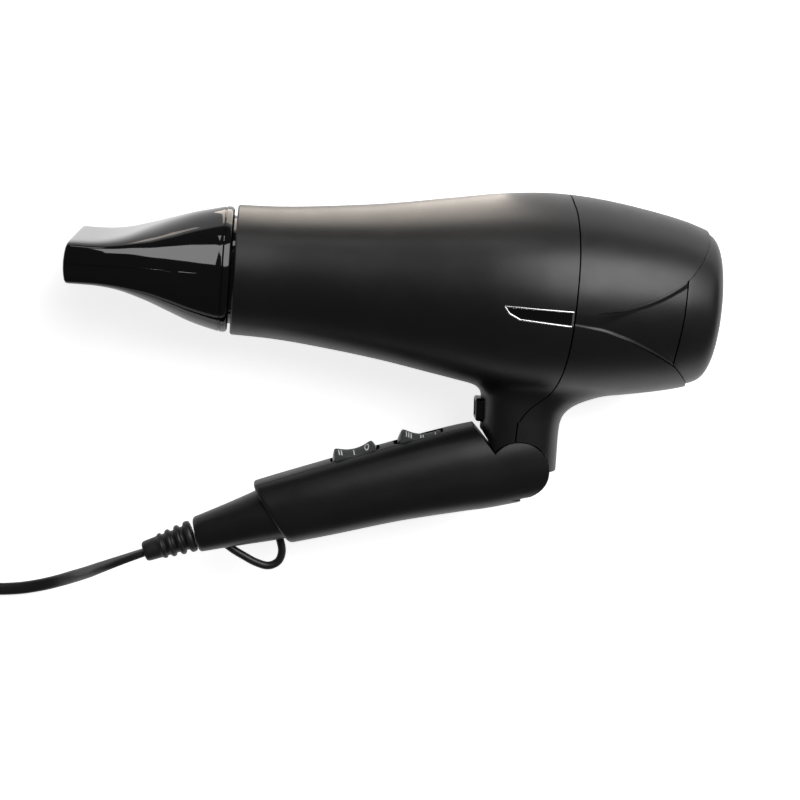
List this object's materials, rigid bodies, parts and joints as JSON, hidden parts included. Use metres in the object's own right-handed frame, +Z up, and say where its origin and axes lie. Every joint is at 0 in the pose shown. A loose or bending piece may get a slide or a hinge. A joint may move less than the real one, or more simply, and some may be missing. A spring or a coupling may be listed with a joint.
{
  "type": "travel hair dryer",
  "caption": "Folding-handle travel hair dryer with a turning flat-mouth concentrator, rocker switches, pull-off intake filter, coiled lead and two-pin plug, lying on its side.",
  "frame": {"origin": "centre of the dryer's footprint, without its lead, on the surface it lies on", "axes": "+X along the barrel from the nozzle to the air intake, +Y the top of the dryer, +Z up"},
  "size_m": [0.3873, 0.1983, 0.0848],
  "materials": {
    "soft_black": "soft-touch matt moulding, faint fine grain",
    "gloss_black": "polished moulding",
    "chrome": "bright plated",
    "switch_grey": "satin dark grey",
    "rubber_black": "satin flexible PVC",
    "mica": "flaky insulating sheet",
    "steel": "satin",
    "heater_wire": "oxidised resistance wire",
    "brass": "turned",
    "white_plastic": "natural moulding",
    "board_green": "solder-masked laminate"
  },
  "bodies": {
    "handle": {"handle_shell": "soft_black", "handle_front_panel": "soft_black", "handle_screw_1": "steel", "handle_screw_2": "steel", "hinge_pin": "steel", "hinge_washer_near": "brass", "hinge_washer_far": "brass", "detent_plunger": "brass", "detent_spring": "steel", "cord_clamp": "switch_grey", "clamp_screw_near": "steel", "clamp_screw_far": "steel", "speed_switch": "white_plastic", "heat_switch": "white_plastic", "handle_tail": "soft_black", "hang_loop": "rubber_black", "strain_relief": "rubber_black", "lead": "rubber_black", "lead_end": "rubber_black", "lead_coil": "rubber_black", "lead_tie": "rubber_black", "plug_body": "rubber_black", "plug_pin_a": "brass", "plug_pin_b": "brass"},
    "head": {"front_housing": "soft_black", "rear_cover": "soft_black", "trim_frame_left": "chrome", "trim_frame_right": "chrome", "trim_inlay_left": "gloss_black", "trim_inlay_right": "gloss_black", "front_grille": "gloss_black", "mica_sleeve": "mica", "mica_board_front": "mica", "mica_board_rear": "mica", "heater_coil_low": "heater_wire", "heater_coil_high": "heater_wire", "thermal_cutoff": "steel", "thermal_fuse": "steel", "fan_duct": "gloss_black", "motor_can": "steel", "rectifier_board": "board_green", "intake_guard": "gloss_black", "cool_switch": "switch_grey", "neck_screw": "steel"},
    "clip_ring": {"nozzle_clip_ring": "switch_grey"},
    "nozzle": {"nozzle": "gloss_black"},
    "filter_cap": {"filter_cap": "soft_black", "filter_mesh": "steel"},
    "fan": {"motor_shaft": "steel", "fan_impeller": "gloss_black"},
    "cool_button": {"cool_button": "gloss_black"},
    "speed_rocker": {"speed_rocker": "switch_grey"},
    "heat_rocker": {"heat_rocker": "switch_grey"}
  },
  "joints": [
    {"name": "handle_fold", "type": "hinge", "parent": "handle", "child": "head", "pos_m": [0.0567, -0.0319, 0.0423], "axis": [0, 0, 1], "range_deg": [-75, 0]},
    {"name": "nozzle_pull", "type": "slide", "parent": "head", "child": "clip_ring", "axis": [-1, 0, 0], "range_m": [0, 0.03]},
    {"name": "nozzle_turn", "type": "hinge", "parent": "clip_ring", "child": "nozzle", "pos_m": [-0.0673, 0.0423, 0.0423], "axis": [1, 0, 0], "continuous": true},
    {"name": "filter_cap_pull", "type": "slide", "parent": "head", "child": "filter_cap", "axis": [1, 0, 0], "range_m": [0, 0.02]},
    {"name": "fan_spin", "type": "hinge", "parent": "head", "child": "fan", "pos_m": [0.0827, 0.0423, 0.0423], "axis": [1, 0, 0], "continuous": true},
    {"name": "cool_button_press", "type": "slide", "parent": "head", "child": "cool_button", "axis": [1, 0, 0], "range_m": [0, 0.0015], "stiffness_N_per_m": 900, "springref_m": -0.0006},
    {"name": "speed_rocker_tilt", "type": "hinge", "parent": "handle", "child": "speed_rocker", "pos_m": [-0.01022, -0.035, 0.0423], "axis": [0, 0, 1], "range_deg": [-14, 14]},
    {"name": "heat_rocker_tilt", "type": "hinge", "parent": "handle", "child": "heat_rocker", "pos_m": [0.01618, -0.02693, 0.0423], "axis": [0, 0, 1], "range_deg": [0, 28]}
  ]
}
